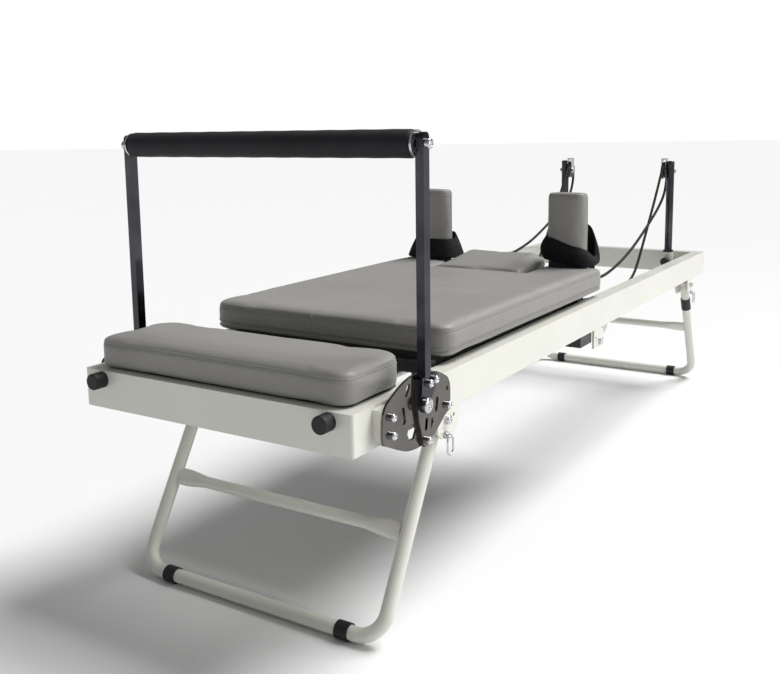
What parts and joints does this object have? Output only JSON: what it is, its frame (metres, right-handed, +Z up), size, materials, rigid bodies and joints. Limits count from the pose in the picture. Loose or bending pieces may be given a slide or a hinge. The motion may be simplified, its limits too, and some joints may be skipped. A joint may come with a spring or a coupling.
{
  "type": "pilates reformer",
  "caption": "Folding pilates reformer: a long rail frame on folding legs, a padded sliding carriage with shoulder rests, a padded footbar, a foot platform and rope pulleys on posts.",
  "frame": {"origin": "the middle of the object's footprint, on the floor", "axes": "+X along the frame from the foot end to the head end, +Y to the left side, +Z up"},
  "size_m": [2.327, 0.736, 0.9313],
  "materials": {
    "frame_paint": "satin",
    "chrome": "polished",
    "bright_steel": "satin",
    "aluminium": "satin",
    "grey_leather": "satin",
    "black_plastic": "matte",
    "black_steel": "satin",
    "black_rubber": "matte",
    "foam": "matte",
    "webbing": "matte",
    "rope": "matte",
    "board": "matte",
    "wheel_plastic": "satin"
  },
  "bodies": {
    "foot_frame": {"foot_rails": "frame_paint", "foot_end_rail": "frame_paint", "foot_tracks": "aluminium", "centre_cross_member": "black_steel", "bumpers": "black_rubber", "foot_hinge_leaves": "frame_paint", "platform_board": "board", "platform_pad": "grey_leather", "spring_bar": "black_steel", "springs": "bright_steel", "footbar_side_plates": "chrome", "plate_spacers": "frame_paint", "front_leg_brackets": "frame_paint", "foot_fasteners": "bright_steel"},
    "head_frame": {"head_rails": "frame_paint", "head_end_rail": "frame_paint", "head_tracks": "aluminium", "head_hinge_leaves": "bright_steel", "rear_leg_brackets": "frame_paint", "head_fasteners": "bright_steel", "posts": "chrome", "post_trim": "black_plastic", "post_sockets": "frame_paint", "pulley_brackets": "bright_steel", "left_rope": "rope", "right_rope": "rope"},
    "front_leg": {"front_leg_frame": "frame_paint", "front_foot_sleeves": "black_rubber"},
    "rear_leg": {"rear_leg_frame": "frame_paint", "rear_foot_sleeves": "black_rubber", "rear_leg_collars": "black_plastic"},
    "carriage": {"carriage_board": "board", "carriage_pad": "grey_leather", "carriage_beams": "black_steel", "carriage_crossbars": "black_steel", "wheel_axles": "bright_steel", "headrest_hinge_ears": "black_steel", "strap_loops": "webbing"},
    "front_wheels": {"front_wheels": "wheel_plastic"},
    "rear_wheels": {"rear_wheels": "wheel_plastic"},
    "headrest": {"headrest_pad": "grey_leather", "headrest_board": "board"},
    "footbar": {"footbar_foam": "foam", "footbar_tube": "bright_steel", "footbar_uprights": "chrome", "footbar_latch_plates": "chrome", "footbar_fittings": "bright_steel"},
    "left_rest": {"left_shoulder_rest": "grey_leather", "left_rest_base": "black_plastic"},
    "left_pulley": {"left_pulley": "black_plastic"},
    "left_post_knob": {"left_post_knob": "black_plastic"},
    "front_left_lock_pin": {"front_left_lock_pin": "bright_steel"},
    "rear_left_lock_pin": {"rear_left_lock_pin": "bright_steel"},
    "right_rest": {"right_shoulder_rest": "grey_leather", "right_rest_base": "black_plastic"},
    "right_pulley": {"right_pulley": "black_plastic"},
    "right_post_knob": {"right_post_knob": "black_plastic"},
    "front_right_lock_pin": {"front_right_lock_pin": "bright_steel"},
    "rear_right_lock_pin": {"rear_right_lock_pin": "bright_steel"}
  },
  "joints": [
    {"name": "frame_fold", "type": "hinge", "parent": "foot_frame", "child": "head_frame", "pos_m": [0.0435, 0, 0.361], "axis": [0, 1, 0], "range_deg": [0, 180]},
    {"name": "front_leg_fold", "type": "hinge", "parent": "foot_frame", "child": "front_leg", "pos_m": [-0.8175, 0, 0.378], "axis": [0, -1, 0], "range_deg": [0, 120.2]},
    {"name": "rear_leg_fold", "type": "hinge", "parent": "head_frame", "child": "rear_leg", "pos_m": [0.9785, 0, 0.378], "axis": [0, 1, 0], "range_deg": [0, 113.8]},
    {"name": "carriage_slide", "type": "slide", "parent": "foot_frame", "child": "carriage", "axis": [1, 0, 0], "range_m": [0, 0.8], "stiffness_N_per_m": 150, "springref_m": -0.1, "deforming": ["springs", "left_rope", "right_rope"]},
    {"name": "front_wheel_spin", "type": "hinge", "parent": "carriage", "child": "front_wheels", "pos_m": [-0.7945, 0, 0.464], "axis": [0, 1, 0], "continuous": true},
    {"name": "rear_wheel_spin", "type": "hinge", "parent": "carriage", "child": "rear_wheels", "pos_m": [0.0135, 0, 0.464], "axis": [0, 1, 0], "continuous": true},
    {"name": "headrest_tilt", "type": "hinge", "parent": "carriage", "child": "headrest", "pos_m": [-0.0485, 0, 0.529], "axis": [0, -1, 0], "range_deg": [-10, 20]},
    {"name": "footbar_swing", "type": "hinge", "parent": "foot_frame", "child": "footbar", "pos_m": [-0.9595, 0, 0.449], "axis": [0, 1, 0], "range_deg": [-35, 70]},
    {"name": "left_rest_lift", "type": "slide", "parent": "carriage", "child": "left_rest", "axis": [0, 0, 1], "range_m": [0, 0.12]},
    {"name": "left_pulley_spin", "type": "hinge", "parent": "head_frame", "child": "left_pulley", "pos_m": [1.1045, 0.181, 0.768], "axis": [0, 1, 0], "continuous": true},
    {"name": "left_knob_turn", "type": "hinge", "parent": "head_frame", "child": "left_post_knob", "pos_m": [1.0635, 0.203, 0.439], "axis": [-1, 0, 0], "continuous": true},
    {"name": "front_left_pin_pull", "type": "slide", "parent": "foot_frame", "child": "front_left_lock_pin", "axis": [0, 1, 0], "range_m": [0, 0.006], "stiffness_N_per_m": 400, "springref_m": -0.01},
    {"name": "rear_left_pin_pull", "type": "slide", "parent": "head_frame", "child": "rear_left_lock_pin", "axis": [0, 1, 0], "range_m": [0, 0.006], "stiffness_N_per_m": 400, "springref_m": -0.01},
    {"name": "right_rest_lift", "type": "slide", "parent": "carriage", "child": "right_rest", "axis": [0, 0, 1], "range_m": [0, 0.12]},
    {"name": "right_pulley_spin", "type": "hinge", "parent": "head_frame", "child": "right_pulley", "pos_m": [1.1045, -0.181, 0.768], "axis": [0, 1, 0], "continuous": true},
    {"name": "right_knob_turn", "type": "hinge", "parent": "head_frame", "child": "right_post_knob", "pos_m": [1.0635, -0.203, 0.439], "axis": [-1, 0, 0], "continuous": true},
    {"name": "front_right_pin_pull", "type": "slide", "parent": "foot_frame", "child": "front_right_lock_pin", "axis": [0, -1, 0], "range_m": [0, 0.006], "stiffness_N_per_m": 400, "springref_m": -0.01},
    {"name": "rear_right_pin_pull", "type": "slide", "parent": "head_frame", "child": "rear_right_lock_pin", "axis": [0, -1, 0], "range_m": [0, 0.006], "stiffness_N_per_m": 400, "springref_m": -0.01}
  ],
  "couplings": [
    {"joint": "front_leg_fold", "follows": "frame_fold", "ratio": 0.6677},
    {"joint": "rear_leg_fold", "follows": "frame_fold", "ratio": 0.6322}
  ]
}
